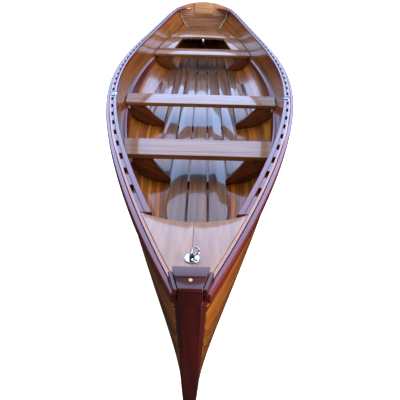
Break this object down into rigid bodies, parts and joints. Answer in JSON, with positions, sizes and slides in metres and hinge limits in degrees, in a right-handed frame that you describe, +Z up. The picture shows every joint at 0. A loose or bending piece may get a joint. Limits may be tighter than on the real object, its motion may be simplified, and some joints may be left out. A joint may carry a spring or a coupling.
{
  "type": "pulling boat",
  "caption": "Varnished strip-planked pulling boat with a transom stern, two thwarts, a stern bench, slotted gunwales, floorboards and a foredeck ring.",
  "frame": {"origin": "under the middle of the keel, midway between the stem's face and the transom's crown", "axes": "+Z up, +Y aft towards the transom, +X to port"},
  "size_m": [1.2726, 5.1803, 0.681],
  "materials": {
    "planking_cedar": "varnished, satin to gloss, strips of mixed tone",
    "feature_strip_wood": "dark accent strip, varnished",
    "deck_cedar": "varnished, book-matched boards",
    "floorboard_cedar": "varnished slats",
    "seat_cedar": "varnished",
    "pad_ash": "varnished",
    "stainless_fittings": "polished stainless steel",
    "frame_wood": "varnished, sawn to shape",
    "transom_wood": "varnished",
    "spacer_wood": "varnished",
    "stem_mahogany": "dark red mahogany, gloss varnish",
    "rail_mahogany": "red mahogany, gloss varnish"
  },
  "bodies": {
    "hull": {"bench_after": "seat_cedar", "bench_bar": "seat_cedar", "bench_side_port": "seat_cedar", "bench_side_starboard": "seat_cedar", "bow_eye": "stainless_fittings", "deck_beam": "frame_wood", "feature_strip_port": "feature_strip_wood", "feature_strip_starboard": "feature_strip_wood", "floorboard_1_port": "floorboard_cedar", "floorboard_1_starboard": "floorboard_cedar", "floorboard_2_port": "floorboard_cedar", "floorboard_2_starboard": "floorboard_cedar", "floorboard_3_port": "floorboard_cedar", "floorboard_3_starboard": "floorboard_cedar", "floorboard_4_port": "floorboard_cedar", "floorboard_4_starboard": "floorboard_cedar", "floorboard_middle": "floorboard_cedar", "foredeck_port": "deck_cedar", "foredeck_starboard": "deck_cedar", "forward_frame_port": "frame_wood", "forward_frame_starboard": "frame_wood", "forward_thwart": "seat_cedar", "gunwale_spacers": "spacer_wood", "inner_stem": "frame_wood", "inwale_port": "rail_mahogany", "inwale_starboard": "rail_mahogany", "keel": "stem_mahogany", "keelson": "frame_wood", "middle_frame_port": "frame_wood", "middle_frame_starboard": "frame_wood", "middle_thwart": "seat_cedar", "motor_pad": "pad_ash", "oarlock_socket_port": "stainless_fittings", "oarlock_socket_starboard": "stainless_fittings", "outer_stem": "stem_mahogany", "outwale_port": "rail_mahogany", "outwale_starboard": "rail_mahogany", "planking_1_port": "planking_cedar", "planking_1_starboard": "planking_cedar", "planking_2_port": "planking_cedar", "planking_2_starboard": "planking_cedar", "planking_3_port": "planking_cedar", "planking_3_starboard": "planking_cedar", "planking_4_port": "planking_cedar", "planking_4_starboard": "planking_cedar", "quarter_knee_port": "rail_mahogany", "quarter_knee_starboard": "rail_mahogany", "riser_port": "rail_mahogany", "riser_starboard": "rail_mahogany", "sheer_strake_port": "planking_cedar", "sheer_strake_starboard": "planking_cedar", "skeg": "stem_mahogany", "stem_cheek_port": "stem_mahogany", "stem_cheek_starboard": "stem_mahogany", "stem_head": "stem_mahogany", "stern_frame_port": "frame_wood", "stern_frame_starboard": "frame_wood", "transom": "transom_wood"},
    "ring": {"bow_ring": "stainless_fittings"}
  },
  "joints": [
    {"name": "bow_ring_swing", "type": "hinge", "parent": "hull", "child": "ring", "pos_m": [0, -2.47668, 0.65926], "axis": [-0.6428, 0.761, -0.0876], "range_deg": [-165, 45]}
  ]
}
